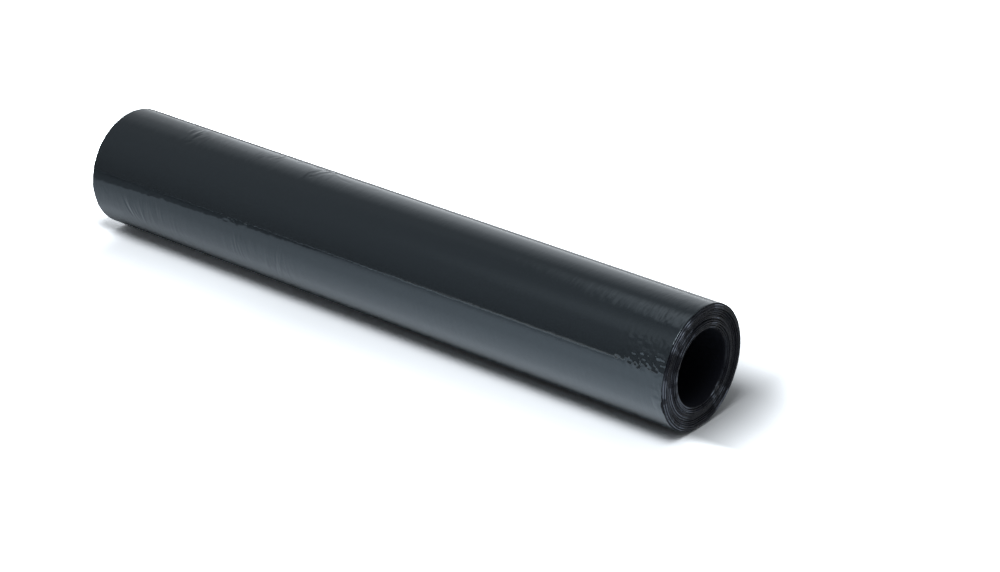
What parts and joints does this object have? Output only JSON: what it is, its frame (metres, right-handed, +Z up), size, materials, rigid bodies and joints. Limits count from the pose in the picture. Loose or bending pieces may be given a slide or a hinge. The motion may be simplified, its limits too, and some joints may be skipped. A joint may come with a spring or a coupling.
{
  "type": "stretch wrap roll",
  "caption": "Coreless roll of black stretch film lying on its side, wound as one spiral with an open bore, film edges that show at both ends and a small flat spot underneath.",
  "frame": {"origin": "on the surface that the roll lies on, under the middle of its length", "axes": "+X along the roll's axis, +Z up, away from the flat spot that it lies on"},
  "size_m": [0.5016, 0.0847, 0.0841],
  "materials": {
    "black_film": "glossy black polyethylene film with fine ripples round the roll"
  },
  "bodies": {
    "root": {"film_roll": "black_film"}
  },
  "joints": []
}
